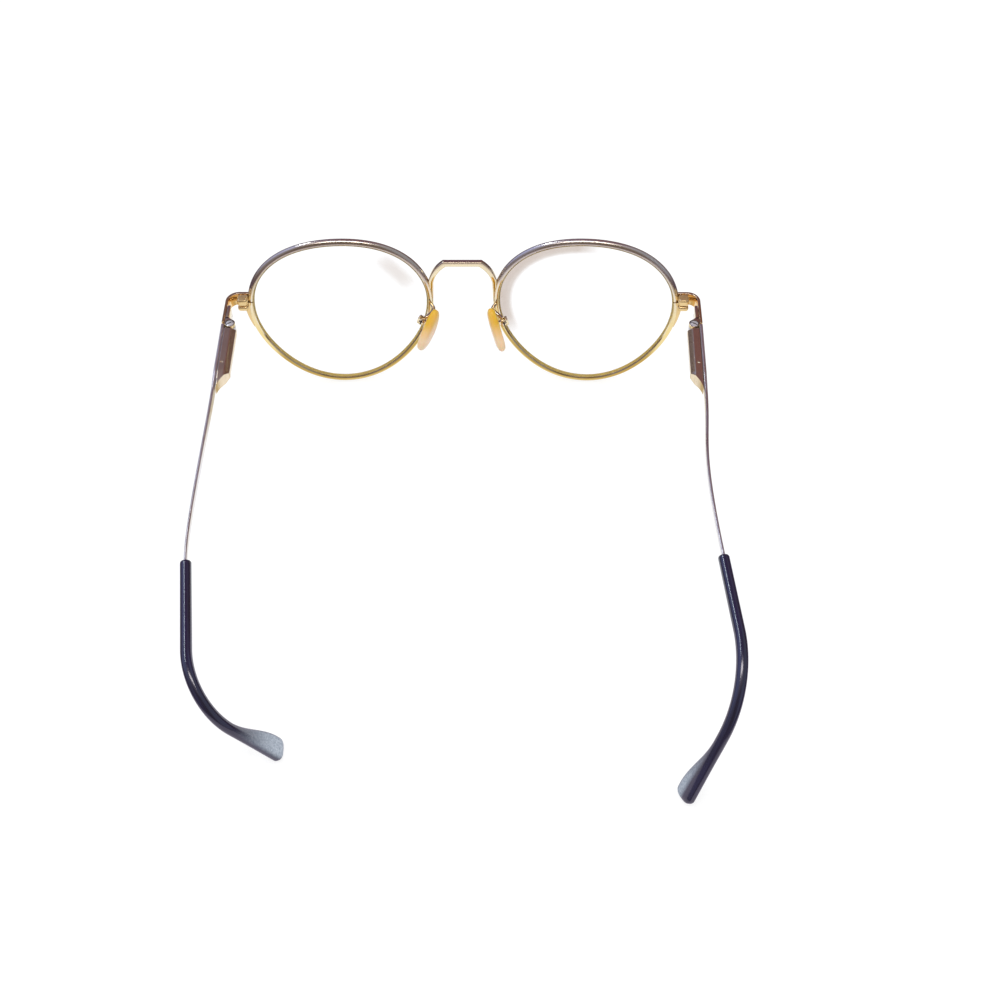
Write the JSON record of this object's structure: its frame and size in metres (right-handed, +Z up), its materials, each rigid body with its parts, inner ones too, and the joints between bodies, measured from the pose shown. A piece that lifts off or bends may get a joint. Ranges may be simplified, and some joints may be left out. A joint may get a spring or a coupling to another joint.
{
  "type": "round metal eyeglasses",
  "caption": "Thin gold-metal eyeglasses with panto-round full rims, an angular bridge, adjustable nose pads, spring hinges and dark bent temple tips.",
  "frame": {"origin": "on the table under the middle of the bridge, in the plane through the two lens centres", "axes": "+X towards the wearer's left, +Y back along the open temples, +Z up from the table that the rims and tips stand on"},
  "size_m": [0.1317, 0.1432, 0.047],
  "materials": {
    "gold": "polished gold plating on a copper-alloy wire",
    "pale_gold": "satin pale gold plating",
    "steel": "bright nickel-silver screws and spring parts",
    "lens": "clear demonstration lens",
    "pad": "clear amber-tinted silicone",
    "tip": "glossy navy-black acetate"
  },
  "bodies": {
    "front": {"bridge": "gold", "left_rim": "gold", "left_lens": "lens", "left_end_piece": "gold", "left_lock_upper": "gold", "left_lock_lower": "gold", "left_lock_screw": "steel", "left_front_hinge": "gold", "left_hinge_screw": "steel", "left_pad_arm": "gold", "left_pad_box": "gold", "left_pad_screw": "gold", "right_rim": "gold", "right_lens": "lens", "right_end_piece": "gold", "right_lock_upper": "gold", "right_lock_lower": "gold", "right_lock_screw": "steel", "right_front_hinge": "gold", "right_hinge_screw": "steel", "right_pad_arm": "gold", "right_pad_box": "gold", "right_pad_screw": "gold"},
    "left_tongue": {"left_hinge_tongue": "steel", "left_spring_stop": "steel"},
    "left_arm": {"left_temple": "gold", "left_tip": "tip", "left_spring_housing": "pale_gold", "left_spring_bush": "steel", "left_spring": "steel"},
    "right_tongue": {"right_hinge_tongue": "steel", "right_spring_stop": "steel"},
    "right_arm": {"right_temple": "gold", "right_tip": "tip", "right_spring_housing": "pale_gold", "right_spring_bush": "steel", "right_spring": "steel"},
    "left_pad": {"left_nose_pad": "pad", "left_pad_lug": "gold"},
    "right_pad": {"right_nose_pad": "pad", "right_pad_lug": "gold"}
  },
  "joints": [
    {"name": "left_fold", "type": "hinge", "parent": "front", "child": "left_tongue", "pos_m": [0.06209, 0.01218, 0.02907], "axis": [0, 0, 1], "range_deg": [-10, 82]},
    {"name": "right_fold", "type": "hinge", "parent": "front", "child": "right_tongue", "pos_m": [-0.06209, 0.01218, 0.02907], "axis": [0, 0, -1], "range_deg": [-10, 82]},
    {"name": "left_flex", "type": "slide", "parent": "left_tongue", "child": "left_arm", "axis": [-0.0148, 0.9999, 0], "range_m": [0, 0.0012], "stiffness_N_per_m": 2000, "springref_m": -0.001, "deforming": ["left_spring"]},
    {"name": "right_flex", "type": "slide", "parent": "right_tongue", "child": "right_arm", "axis": [0.0148, 0.9999, 0], "range_m": [0, 0.0012], "stiffness_N_per_m": 2000, "springref_m": -0.001, "deforming": ["right_spring"]},
    {"name": "left_pad_rock", "type": "hinge", "parent": "front", "child": "left_pad", "pos_m": [0.01093, 0.00502, 0.02495], "axis": [0.4101, 0.9063, 0.1022], "range_deg": [-6, 6]},
    {"name": "right_pad_rock", "type": "hinge", "parent": "front", "child": "right_pad", "pos_m": [-0.01108, 0.00544, 0.02498], "axis": [-0.2511, 0.9659, 0.0626], "range_deg": [-6, 6]}
  ]
}
